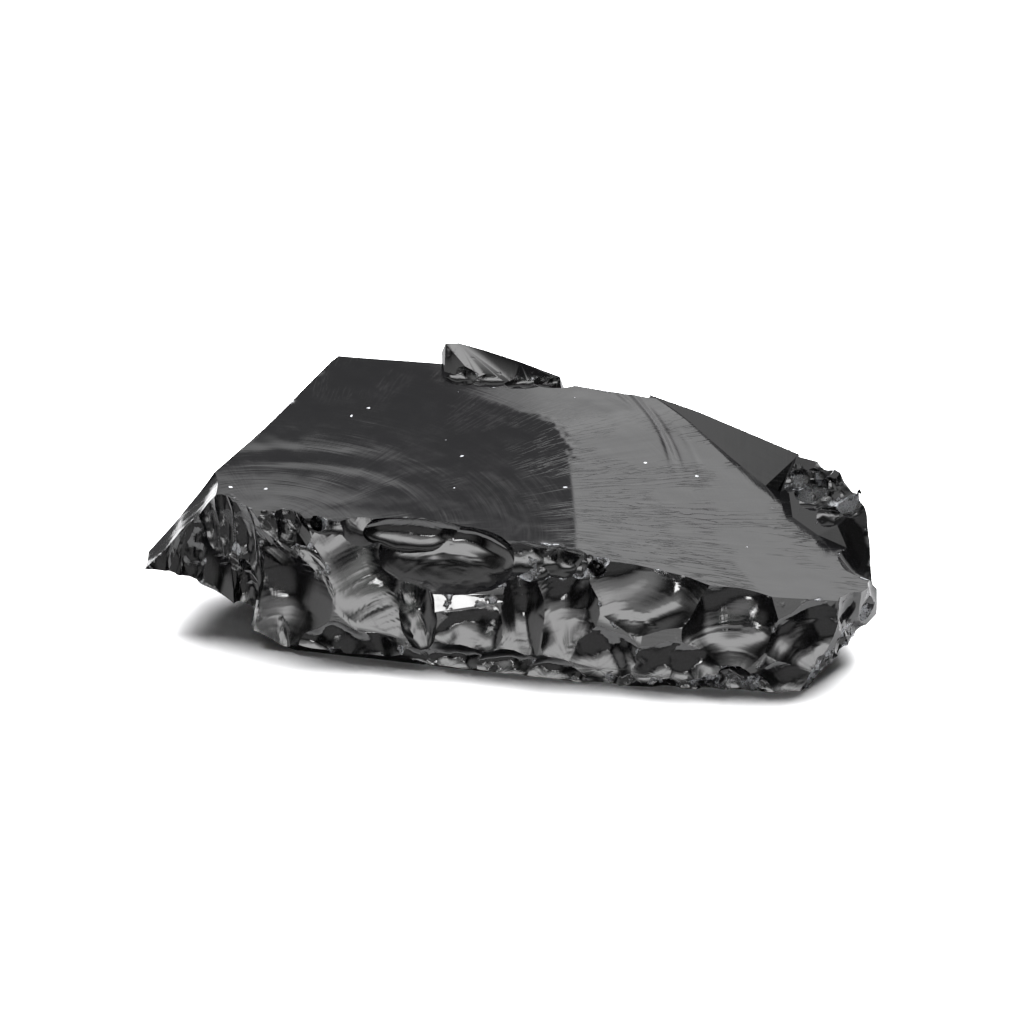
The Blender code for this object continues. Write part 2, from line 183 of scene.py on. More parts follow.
# the back and the underside, broken more coarsely
BACK_SCARS = [
    ((-0.5, 24.7, 7.5), 98, 84, 9, 14, 0.9, 0),
    ((10.0, 22.9, 6.5), 100, 70, 8, 9, 0.8, 0),
    ((16.8, 17.8, 6.5), 104, 40, 8, 12, 0.9, 0),
    ((24.2, 9.4, 6.5), 106, 42, 8, 10, 0.8, 0),
    ((-13.5, 25.4, 8.0), 108, 80, 11, 12, 1.2, 0),
    ((-24.6, 9.5, 5.0), 118, 150, 9, 12, 0.9, 0),
    ((-21.2, 17.0, 7.5), 98, 154, 8, 11, 0.9, 0),
    ((-29.0, -1.0, 3.2), 152, 175, 11, 10, 0.9, 0),
    ((-21.5, 4.0, 1.4), 160, 160, 10, 13, 0.8, 0),
    ((31.5, -6.0, 2.5), 130, 15, 8, 12, 0.9, 0),
    ((-14.0, 17.0, 2.6), 156, 110, 13, 15, 1.0, 0),
    ((5.0, 14.5, 2.4), 154, 75, 13, 18, 1.1, 0),
    ((19.0, 7.0, 2.6), 140, 50, 9, 14, 1.0, 0),
]

# how far a flake extends above the scar it leaves
SHORTEST_REACH = 1.5
LONGEST_REACH = 9.0
REACH_PER_SIZE = 0.6

# Where the blow fell, as an angle round the scar from its downhill side (0 = from below),
# and the height and spacing of the ripples it left.
GROUPS = [
    ("left", LEFT_SCARS, 180.0, 0.008, 0.7),
    ("front", FRONT_SCARS, 0.0, 0.026, 0.72),
    ("bevel", BEVEL_SCARS, 180.0, 0.016, 0.5),
    ("right", RIGHT_SCARS, 0.0, 0.026, 0.68),
    ("knob_chip", KNOB_SCARS, 180.0, 0.012, 0.45),
    ("ridge_chip", BACK_RIDGE_SCARS, 180.0, 0.012, 0.45),
    ("back", BACK_SCARS, 30.0, 0.035, 1.1),
]
BLOW_OFFSET = 1.15            # the blow's distance from the deepest point, in rim distances
RIPPLE_REACH = 2.2            # how far ripples run from the blow, in sizes of the scar

# Flakes that bite deeper than the scar they leave on a flat: how far round they are meshed
# finely from their deepest point and round the blow (radians), and how uneven they are.
DEEP = ("front_4", "bevel_0")
DEEP_BITE = 1.6
DEEP_OPENING = 0.94 * math.pi
DEEP_EVENNESS = 0.4

# steps of a flake's mesh along the rings' radius and along the rings, in mm
FINE_STEPS = (0.10, 0.55)
COARSE_STEPS = (0.25, 0.9)    # for the back and the underside

TOP_BLOW = (-22.6, -8.6)      # plan position of the blow that split the big top face
TOP_RADIUS = 80.0
# from angle, to angle (radians), distance at each end, height and width of the step (mm)
STROKES = [
    (0.28, 0.90, 39.6, 49.2, 0.085, 0.36),
    (0.30, 0.78, 41.0, 47.2, -0.075, 0.34),
    (0.26, 0.60, 42.6, 46.4, 0.035, 0.30),
    (0.60, 1.02, 43.6, 49.0, 0.030, 0.30),
]
LID_HEIGHT = 30.0


# ---------------------------------------------------------------- smooth random shapes
class Waves:
    """A smooth random field: a sum of sine waves with random directions, about -1 to 1."""

    def __init__(self, seed, shortest, longest, count=14, dims=3):
        dice = np.random.default_rng(seed)
        way = dice.normal(size=(count, dims))
        way /= np.linalg.norm(way, axis=1)[:, None]
        length = shortest * (longest / shortest) ** dice.random(count)
        self.turns = way * (2.0 * math.pi / length)[:, None]
        self.phase = dice.random(count) * 2.0 * math.pi
        self.weight = math.sqrt(2.0 / count) * 0.7

    def at(self, points):
        return np.sin(points @ self.turns.T + self.phase).sum(-1) * self.weight


def smooth_step(low, high, value):
    share = np.clip((value - low) / (high - low), 0.0, 1.0)
    return share * share * (3.0 - 2.0 * share)


def ripples(distance, angle, seed, height, spacing, reach):
    """Ring-shaped fracture ripples round a blow: crests of uneven height and spacing."""
    dice = np.random.default_rng(seed)
    wander = Waves(seed + 1, 0.5, 2.0, 6, 1)
    total = np.zeros_like(distance)
    crest = spacing * dice.uniform(0.8, 1.6)
    while crest < reach:
        width = spacing * dice.uniform(0.16, 0.30)
        tall = height * dice.uniform(0.15, 1.0) ** 1.5
        start = dice.uniform(-1.2, 1.2)
        patch = np.exp(-((angle - start) / dice.uniform(0.5, 1.6)) ** 2)
        where = crest + 0.12 * spacing * wander.at((angle * 3.0 + crest)[..., None])
        step = (distance - where) / width
        total += tall * patch * np.exp(-step * step) * (1.0 - 0.6 * step)
        crest += spacing * dice.uniform(0.45, 1.5)
    return total


# ---------------------------------------------------------------- mesh helpers
# what the face attribute "grain" holds
PLAIN = 0.0
CRUMB = 2.0


def new_collection(name):
    made = bpy.data.collections.new(name)
    bpy.context.scene.collection.children.link(made)
    return made


def add_object(name, mesh, where):
    made = bpy.data.objects.new(name, mesh)
    where.objects.link(made)
    return made


def grid_mesh(name, points, distance, angle):
    """A closed mesh from rings of points; points[0] is the pole, points[-1] the far end.

    points is rings x spokes x 3. The first ring collapses to one vertex, and so does the
    last. Each corner keeps its distance and angle from the blow in the map "fracture".
    """
    rings, spokes = points.shape[:2]
    inner = points[1:-1].reshape(-1, 3)
    verts = np.vstack([points[0, :1], inner, points[-1, :1]])
    u = np.concatenate([distance[0, :1], distance[1:-1].ravel(), distance[-1, :1]])
    v = np.concatenate([angle[0, :1], angle[1:-1].ravel(), angle[-1, :1]])
    ring = np.arange(rings - 2)[:, None] * spokes + 1
    spoke = np.arange(spokes)[None, :]
    here = ring + spoke
    over = ring + (spoke + 1) % spokes
    a, b = here[:-1].ravel(), over[:-1].ravel()
    c, d = over[1:].ravel(), here[1:].ravel()
    last = len(verts) - 1
    tris = np.vstack([
        np.stack([np.zeros(spokes, int), over[0], here[0]], 1),
        np.stack([a, b, c], 1),
        np.stack([a, c, d], 1),
        np.stack([np.full(spokes, last), here[-1], over[-1]], 1),
    ])
    across = np.cross(verts[tris[:, 1]] - verts[tris[:, 0]], verts[tris[:, 2]] - verts[tris[:, 0]])
    middle = verts.mean(0)
    if (across * (verts[tris[:, 0]] - middle)).sum() < 0.0:
        tris = tris[:, ::-1]
    mesh = bpy.data.meshes.new(name)
    mesh.from_pydata(verts.tolist(), [], tris.tolist())
    layer = mesh.uv_layers.new(name="fracture")
    flat = tris.ravel()
    layer.data.foreach_set("uv", np.stack([u[flat], v[flat]], 1).ravel().astype(np.float32))
    mark(mesh, PLAIN)
    return mesh


def mark(mesh, value):
    """Note on every face whether a crumb leaves it or a larger flake."""
    grain = mesh.attributes.new("grain", 'FLOAT', 'FACE')
    grain.data.foreach_set("value", np.full(len(mesh.polygons), value, np.float32))


# ---------------------------------------------------------------- flakes
def scar_axes(tilt, azimuth, spin):
    """Run, side and normal directions of a scar."""
    t, a, s = math.radians(tilt), math.radians(azimuth), math.radians(spin)
    normal = Vector((math.sin(t) * math.cos(a), math.sin(t) * math.sin(a), math.cos(t)))
    up = Vector((0.0, 0.0, 1.0))
    down = (normal * normal.dot(up) - up).normalized()
    side = normal.cross(down)
    run = down * math.cos(s) + side * math.sin(s)
    return run, normal.cross(run), normal


def ellipsoid(scar):
    """Centre, axis directions (rows) and half-axes of the flake that leaves a scar."""
    point, tilt, azimuth, length, width, depth, spin = scar
    reach = min(LONGEST_REACH, max(SHORTEST_REACH, REACH_PER_SIZE * math.sqrt(length * width)))
    stretch = math.sqrt(reach / (8.0 * depth))
    axes = np.array([list(axis) for axis in scar_axes(tilt, azimuth, spin)])
    centre = np.array(point) + axes[2] * reach
    return centre, axes, np.array([length * stretch, width * stretch, reach])


def polar_directions(pole, spread, around):
    """Unit vectors at given angles from the pole and round it; angle 0 points to the south."""
    south = np.array([0.0, 0.0, -1.0])
    ahead = south - pole * pole.dot(south)
    ahead /= np.linalg.norm(ahead)
    across = np.cross(pole, ahead)
    spread, around = np.meshgrid(spread, around, indexing="ij")
    ways = (pole * np.cos(spread)[..., None]
            + (ahead * np.cos(around)[..., None] + across * np.sin(around)[..., None])
            * np.sin(spread)[..., None])
    return ways, around


def flake(name, scar, blow, height, spacing, ring_step, spoke_step, seed, where):
    """A flake as a fine ellipsoid whose rings run round the blow and carry its ripples."""
    centre, axes, half = ellipsoid(scar)
    depth = scar[5]
    rim = math.acos(1.0 - min(0.9, depth / half[2]))
    lean = rim * BLOW_OFFSET
    turn = math.radians(blow)
    pole = np.array([math.sin(lean) * math.cos(turn), math.sin(lean) * math.sin(turn),
                     -math.cos(lean)])
    along = math.hypot(half[0] * math.cos(turn), half[1] * math.sin(turn))
    across = math.hypot(half[0] * math.sin(turn), half[1] * math.cos(turn))

    bite = DEEP_BITE if name in DEEP else rim
    near = max(0.02, (lean - rim) * 0.7)
    far = min(2.6, (lean + bite) * 1.2)
    fine = np.arange(near, far, ring_step / along)
    spread = np.concatenate([[0.0], fine, np.linspace(far, math.pi, 7)])
    open_angle = min(math.pi * 0.6, math.asin(min(1.0, math.sin(rim) / math.sin(lean))) * 1.3)
    if name in DEEP:
        open_angle = DEEP_OPENING
    step = spoke_step / (across * math.sin(min(lean + 0.5 * rim, 1.5)))
    fine = np.arange(-open_angle, open_angle, step)
    coarse = np.linspace(open_angle, 2.0 * math.pi - open_angle, 10)[:-1]
    ways, angle = polar_directions(pole, spread, np.concatenate([fine, coarse]))

    points = centre + (ways * half) @ axes
    outward = (ways / half) @ axes
    outward /= np.linalg.norm(outward, axis=-1)[..., None]
    distance = np.linalg.norm(points - points[0, 0], axis=-1)
    size = math.sqrt(scar[3] * scar[4])
    inside = 1.0 - smooth_step(1.3 * bite, 2.2 * bite, np.arccos(np.clip(-ways[..., 2], -1, 1)))
    uneven = min(0.20, 0.020 * size + 0.02) * (DEEP_EVENNESS if name in DEEP else 1.0)
    swell = Waves(seed, 0.35 * size, 1.2 * size).at(points) * uneven
    shift = swell + inside * ripples(distance, angle, seed, height, spacing,
                                      RIPPLE_REACH * size)
    points = points + outward * shift[..., None]
    return tool(name, grid_mesh(name, points, distance, angle), where)


def lower_surface(scar, x, y):
    """Height of the underside of a flake over plan positions, for the nearly level faces."""
    centre, axes, half = ellipsoid(scar)
    scaled = axes / half[:, None]
    base = np.stack([x - centre[0], y - centre[1], np.zeros_like(x) - centre[2]], -1) @ scaled.T
    rise = scaled[:, 2]
    qa = rise @ rise
    qb = base @ rise
    qc = (base * base).sum(-1) - 1.0
    room = np.maximum(qb * qb - qa * qc, 0.0)
    height = (-qb - np.sqrt(room)) / qa
    return np.where(qb * qb > qa * qc, height, LID_HEIGHT)


def soft_min(first, second, round_off):
    """The smaller of two heights, rounded where they cross."""
    share = np.clip(1.0 - np.abs(first - second) / round_off, 0.0, 1.0)
    return np.minimum(first, second) - 0.25 * share * share * round_off


def top_height(x, y):
    """The big top face: two dished plates and the band behind them."""
    points = np.stack([x, y], -1)
    plate, slope, band = [lower_surface(scar, x, y) for scar in TOP_FACES]
    behind = soft_min(slope, band, 0.30)
    torn = smooth_step(3.0, 7.0, y) * (1.0 - smooth_step(14.0, 19.0, y))
    ragged = 0.05 * torn * Waves(5, 0.9, 5.0, 12, 2).at(points)
    behind = behind + ragged * np.exp(-((plate - behind) / 0.14) ** 2)
    blend = 0.03 + 0.75 * smooth_step(13.0, 22.0, y)
    height = soft_min(plate, behind, blend)
    bulb = 0.0028 * np.clip(15.0 - np.hypot(x - TOP_BLOW[0], y - TOP_BLOW[1]), 0.0, 12.0) ** 2
    swell = 0.03 * Waves(9, 16.0, 40.0, 8, 2).at(points)
    swell += 0.004 * Waves(10, 2.0, 6.0, 20, 2).at(points)
    return np.minimum(height + swell + bulb * 0.5, LID_HEIGHT - 4.0)


def strokes(distance, angle):
    """Crescent-shaped steps far from the blow. Each row of STROKES is one of them."""
    total = np.zeros_like(distance)
    for start, stop, near, far, height, width in STROKES:
        along = (angle - start) / (stop - start)
        where = near + (far - near) * along
        fade = smooth_step(0.0, 0.35, along) * (1.0 - smooth_step(0.65, 1.0, along))
        step = (distance - where) / width
        total += height * fade * np.exp(-step * step)
    return total


def streaks(distance, angle):
    """Broad soft waves curving round the blow, closer in on the far side."""
    dice = np.random.default_rng(14)
    bent = distance * (1.0 + 0.17 * (angle - 1.0))
    total = np.zeros_like(distance)
    middle = 5.0
    while middle < 19.5:
        width = dice.uniform(0.7, 1.7)
        tall = dice.uniform(0.3, 1.0) * 0.040 * width
        start = dice.uniform(0.2, 1.6)
        patch = np.exp(-((angle - start) / dice.uniform(0.5, 0.9)) ** 2)
        total += tall * patch * np.exp(-((bent - middle) / width) ** 2)
        middle += dice.uniform(1.4, 3.0)
    return total


def hackles(distance, angle):
    """Fine ridges running outwards from the blow, in bundles."""
    lines = Waves(61, 0.016, 0.075, 16, 1).at(angle[..., None])
    bundle = Waves(62, 0.10, 0.5, 6, 1).at(angle[..., None])
    run = Waves(63, 6.0, 20.0, 6, 2).at(np.stack([distance, angle * 60.0], -1))
    zone = smooth_step(24.0, 28.5, distance) * (1.0 - smooth_step(34.0, 50.0, distance))
    zone *= 1.0 - smooth_step(0.45, 0.75, angle)
    return 0.011 * zone * lines * smooth_step(-0.9, 0.7, bundle + run)


def top_tool(where):
    """What was split off the top, as a lidded grid whose rings run round the blow."""
    spread = np.concatenate([[0.0], np.arange(1.0, 12.0, 0.35), np.arange(12.0, 70.0, 0.2),
                             [72.0, TOP_RADIUS]])
    fine = np.concatenate([np.arange(-0.55, -0.12, 0.0125), np.arange(-0.12, 0.75, 0.007),
                           np.arange(0.75, 1.75, 0.0125)])
    coarse = np.linspace(1.75, 2.0 * math.pi - 0.55, 24)[:-1]
    distance, angle = np.meshgrid(spread, np.concatenate([fine, coarse]), indexing="ij")
    x = TOP_BLOW[0] + distance * np.cos(angle)
    y = TOP_BLOW[1] + distance * np.sin(angle)
    z = top_height(x, y) - ripples(distance, angle, 77, 0.009, 3.0, 70.0)
    z += streaks(distance, angle) + strokes(distance, angle)
    z += hackles(distance, angle)
    points = np.stack([x, y, z], -1)
    lid = points[-1:].copy()
    lid[..., 2] = LID_HEIGHT
    apex = np.broadcast_to([TOP_BLOW[0], TOP_BLOW[1], LID_HEIGHT], lid.shape)
    points = np.concatenate([points, lid, apex])
    distance = np.concatenate([distance, distance[-1:], distance[:1]])
    angle = np.concatenate([angle, angle[-1:], angle[:1]])
    return tool("top_face", grid_mesh("top_face", points, distance, angle), where)


# ---------------------------------------------------------------- block, ridges, chips
def tool(name, mesh, where):
    made = add_object(name, mesh, where)
    made.display_type = 'WIRE'
    made.hide_render = True
    return made


def plane_of(points, inside):
    """A point and the outward normal of the plane through three points."""
    first, second, third = [Vector(p) for p in points]
    normal = (second - first).cross(third - first).normalized()
    if normal.dot(inside - first) > 0.0:
        normal.negate()
    return first, normal


def finish_bmesh(bm, name, grain=PLAIN):
    """Triangulate, face outwards and give the map and the mark that flakes have."""
    bmesh.ops.triangulate(bm, faces=bm.faces)
    bmesh.ops.recalc_face_normals(bm, faces=bm.faces)
    layer = bm.loops.layers.uv.new("fracture")
    for face in bm.faces:
        for loop in face.loops:
            loop[layer].uv = (loop.vert.co.x * 0.8, loop.vert.co.z * 0.06)
    mesh = bpy.data.meshes.new(name)
    bm.to_mesh(mesh)
    bm.free()
    mark(mesh, grain)
    return mesh


def block(where):
    """The block cut to its outline and trimmed by the cleavage planes."""
    bm = bmesh.new()
    bmesh.ops.create_cube(bm, size=120.0)
    inside = Vector((0.0, 0.0, 6.0))
    cuts = [(Vector((0.0, 0.0, 0.0)), Vector((0.0, 0.0, -1.0))),
            (Vector((0.0, 0.0, BLOCK_HEIGHT)), Vector((0.0, 0.0, 1.0)))]
    for (x0, y0), (x1, y1) in zip(OUTLINE, OUTLINE[1:] + OUTLINE[:1]):
        cuts.append(plane_of(((x0, y0, 0.0), (x1, y1, 0.0), (x0, y0, 5.0)), inside))
    for points in CLEAVES:
        cuts.append(plane_of(points, inside))
    for point, normal in cuts:
        geom = list(bm.verts) + list(bm.edges) + list(bm.faces)
        bmesh.ops.bisect_plane(bm, geom=geom, dist=1e-5, plane_co=point, plane_no=normal,
                               clear_outer=True)
        open_edges = [edge for edge in bm.edges if edge.is_boundary]
        bmesh.ops.contextual_create(bm, geom=open_edges)
    return add_object("obsidian_stone", finish_bmesh(bm, "obsidian_stone"), where)


def ridge(name, corners, where):
    """A standing ridge: the hull of its corners."""
    bm = bmesh.new()
    for corner in corners:
        bm.verts.new(Vector(corner))
    hull = bmesh.ops.convex_hull(bm, input=bm.verts)
    spare = [item for item in hull["geom_interior"] if isinstance(item, bmesh.types.BMVert)]
    bmesh.ops.delete(bm, geom=spare, context='VERTS')
    return tool(name, finish_bmesh(bm, name), where)


# A flat splinter broken off the front wall, which leaves a mirror-like strip.
STRIP = [(-7.47, -12.61, 5.85), (-7.84, -14.68, 7.21), (-0.83, -13.52, 6.30), (-1.20, -15.58, 7.66),
         (-7.46, -13.74, 4.15), (-7.83, -15.80, 5.51), (-0.83, -14.08, 5.45), (-1.20, -16.14, 6.81)]

# Crushed edges: chips strung along these lines. Each row is the line, how many chips,
# their size, and the way they face.
CRUSHED = [
    ([(-19.0, -14.2, 1.4), (-9.0, -16.3, 1.5), (3.0, -18.7, 1.5), (12.0, -20.0, 1.3),
      (20.0, -20.9, 1.0), (26.0, -21.3, 0.8)], 110, (0.6, 2.2), -98.0),
    ([(26.0, -21.3, 0.8), (32.6, -13.0, 3.0)], 20, (0.6, 1.8), -53.0),
    ([(26.8, 5.0, 10.6), (29.6, 1.4, 10.9), (32.6, -2.6, 10.3)], 22, (0.7, 1.8), -115.0),
    ([(-2.4, -9.6, 9.2), (2.2, -11.0, 9.2), (8.6, -12.3, 9.0)], 20, (0.4, 1.0), -98.0),
    ([(-29.0, -7.6, 3.4), (-24.0, -9.6, 2.4)], 14, (0.5, 1.3), -105.0),
    ([(-24.0, -5.2, 10.0), (-15.0, -5.4, 10.1), (-3.0, -7.2, 9.8)], 12, (0.3, 0.7), -98.0),
]
CHIP_SCATTER = (-0.9, 1.1)     # up and down from the line, mm
CHIP_TILT = (55.0, 115.0)
CHIP_TURN = 45.0               # either way from the way the line faces
CHIP_WIDTH = (0.7, 1.6)        # times its size, like the depth
CHIP_DEPTH = (0.12, 0.24)
CHIP_SPIN = 40.0
CHIP_RADIUS = 1.03             # of the flat-faced ball, so that its faces cut deep enough


def chip_rows():
    """Places, directions and sizes of the chips along the crushed edges."""
    dice = random.Random(21)
    rows = []
    for line, count, (small, large), facing in CRUSHED:
        steps = len(line) - 1
        for k in range(count):
            place = steps * (k + 0.5 + dice.uniform(-0.4, 0.4)) / count
            leg = min(int(place), steps - 1)
            point = Vector(line[leg]).lerp(Vector(line[leg + 1]), place - leg)
            point.z += dice.uniform(*CHIP_SCATTER)
            size = dice.uniform(small, large)
            rows.append((tuple(point), dice.uniform(*CHIP_TILT),
                         facing + dice.uniform(-CHIP_TURN, CHIP_TURN), size,
                         size * dice.uniform(*CHIP_WIDTH), size * dice.uniform(*CHIP_DEPTH),
                         dice.uniform(-CHIP_SPIN, CHIP_SPIN)))
    return rows


def crumb(name, scar, where):
    """A tiny splintered flake: a flat-faced ball stretched to an ellipsoid."""
    centre, axes, half = ellipsoid(scar)
    bm = bmesh.new()
    bmesh.ops.create_icosphere(bm, subdivisions=2, radius=CHIP_RADIUS)
    for vert in bm.verts:
        vert.co = Vector(centre + (np.array(vert.co) * half) @ axes)
    return tool(name, finish_bmesh(bm, name, CRUMB), where)


def strike(body, cutter, operation):
    step = body.modifiers.new(cutter.name, 'BOOLEAN')
    step.operation = operation
    step.solver = 'MANIFOLD'
    step.object = cutter


def freeze(body):
    graph = bpy.context.evaluated_depsgraph_get()
    done = bpy.data.meshes.new_from_object(body.evaluated_get(graph))
    body.modifiers.clear()
    body.data = done


# ---------------------------------------------------------------- edges
RIB_ANGLE = math.radians(32.0)      # an outer edge this sharp can be crushed
RIB_FALLOFF = 0.12                  # mm
SHARP_ANGLE = math.radians(24.0)    # above it the shading breaks


def mark_ribs(mesh):
    """Keep on every vertex how close it is to a sharp outer edge, 0 to 1."""
    bm = bmesh.new()
    bm.from_mesh(mesh)
    sharp = []
    for edge in bm.edges:
        if len(edge.link_faces) == 2 and edge.calc_face_angle_signed() > RIB_ANGLE:
            sharp.append((edge.verts[0].co + edge.verts[1].co) * 0.5)
    bm.free()
    tree = kdtree.KDTree(len(sharp))
    for k, point in enumerate(sharp):
        tree.insert(point, k)
    tree.balance()
    near = [math.exp(-tree.find(vert.co)[2] / RIB_FALLOFF) for vert in mesh.vertices]
    layer = mesh.attributes.new("rib", 'FLOAT', 'POINT')
    layer.data.foreach_set("value", np.array(near, np.float32))


def to_frame(mesh):
    """Scale to metres and centre on the CAD box; the base stays on the floor."""
    low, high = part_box(NODE)
    mesh.transform(Matrix.Scale(MM, 4))
    spots = np.array([v.co for v in mesh.vertices])
    middle = (spots.min(0) + spots.max(0)) / 2.0
    shift = Vector(((low.x + high.x) / 2.0 - middle[0], (low.y + high.y) / 2.0 - middle[1],
                    low.z - spots[:, 2].min()))
    mesh.transform(Matrix.Translation(shift))
    return shift


# ---------------------------------------------------------------- materials
class Nodes:
    """Short names for building a node tree."""

    def __init__(self, tree):
        self.tree = tree

    def add(self, kind, **settings):
        node = self.tree.nodes.new(kind)
        for key, value in settings.items():
            setattr(node, key, value)
        return node

    def wire(self, socket, value):
        if isinstance(value, bpy.types.NodeSocket):
            self.tree.links.new(value, socket)
        else:
            socket.default_value = value

    def math(self, operation, first, second=0.0, clamp=False):
        node = self.add('ShaderNodeMath', operation=operation, use_clamp=clamp)
        for socket, value in zip(node.inputs, (first, second)):
            self.wire(socket, value)
        return node.outputs[0]

    def ramp(self, value, low, high, bottom=0.0, top=1.0):
        node = self.add('ShaderNodeMapRange', interpolation_type='SMOOTHSTEP')
        for name, item in (("Value", value), ("From Min", low), ("From Max", high),
                           ("To Min", bottom), ("To Max", top)):
            self.wire(node.inputs[name], item)
        return node.outputs["Result"]

    def noise(self, vector, scale=1.0, detail=2.0, roughness=0.5):
        node = self.add('ShaderNodeTexNoise')
        self.wire(node.inputs["Vector"], vector)
        node.inputs["Scale"].default_value = scale
        node.inputs["Detail"].default_value = detail
        node.inputs["Roughness"].default_value = roughness
        return node.outputs["Fac"]

    def stretch(self, vector, scale):
        node = self.add('ShaderNodeVectorMath', operation='MULTIPLY')
        self.wire(node.inputs[0], vector)
        node.inputs[1].default_value = scale
        return node.outputs[0]

    def bump(self, height, distance, normal=None):
        node = self.add('ShaderNodeBump')
        node.inputs["Distance"].default_value = distance
        self.wire(node.inputs["Height"], height)
        if normal is not None:
            self.wire(node.inputs["Normal"], normal)
        return node.outputs["Normal"]


GLASS_COLOUR = (0.003, 0.003, 0.0035, 1.0)
CRUSHED_COLOUR = (0.42, 0.43, 0.45, 1.0)
GLASS_IOR = 1.5
FLOOR_COLOUR = (0.86, 0.86, 0.87, 1.0)
FLOOR_ROUGHNESS = 0.7
# heights of the bumps, in metres
RING_BUMP = 0.000012
HACKLE_BUMP = 0.000010
TORN_BUMP = 0.000024
GRIT_BUMP = 0.00012


def torn_lines(nodes, fracture):
    """Thin torn lines far out on the big plates, sparse and uneven."""
    split = nodes.add('ShaderNodeSeparateXYZ')
    nodes.wire(split.inputs[0], fracture)
    far_out = nodes.math('MULTIPLY', nodes.ramp(split.outputs["X"], 24.0, 31.0),
                         nodes.ramp(split.outputs["Y"], 0.35, 0.85, 1.0, 0.12))
    fading = nodes.ramp(split.outputs["X"], 30.0, 52.0, 1.0, 0.35)
    torn = nodes.noise(nodes.stretch(fracture, (0.16, 60.0, 1.0)), 1.0, 2.0, 0.55)
    torn = nodes.ramp(nodes.math('ABSOLUTE', nodes.math('SUBTRACT', torn, 0.5)), 0.0, 0.035, 1.0, 0.0)
    bundle = nodes.ramp(nodes.noise(nodes.stretch(fracture, (0.10, 5.0, 1.0)), 1.0, 2.0), 0.42, 0.58)
    return nodes.math('MULTIPLY', nodes.math('MULTIPLY', torn, bundle),
                      nodes.math('MULTIPLY', far_out, fading))


def dust_specks(nodes, place):
    """A few specks of dust on what faces up."""
    warped = nodes.add('ShaderNodeVectorMath', operation='ADD')
    nodes.wire(warped.inputs[0], place)
    nodes.wire(warped.inputs[1], nodes.stretch(nodes.noise(place, 1.6, 1.0), (0.7, 0.7, 0.7)))
    cells = nodes.add('ShaderNodeTexVoronoi', feature='F1')
    nodes.wire(cells.inputs["Vector"], warped.outputs[0])
    cells.inputs["Scale"].default_value = 0.62
    picks = nodes.add('ShaderNodeSeparateColor')
    nodes.wire(picks.inputs[0], cells.outputs["Color"])
    size = nodes.ramp(picks.outputs["Red"], 0.0, 1.0, 0.05, 0.16)
    speck = nodes.ramp(nodes.math('DIVIDE', cells.outputs["Distance"], size), 0.6, 1.1, 1.0, 0.0)
    lying = nodes.add('ShaderNodeSeparateXYZ')
    nodes.wire(lying.inputs[0], nodes.add('ShaderNodeNewGeometry').outputs["Normal"])
    speck = nodes.math('MULTIPLY', speck, nodes.ramp(picks.outputs["Green"], 0.90, 0.94))
    return nodes.math('MULTIPLY', speck, nodes.ramp(lying.outputs["Z"], 0.80, 0.95))


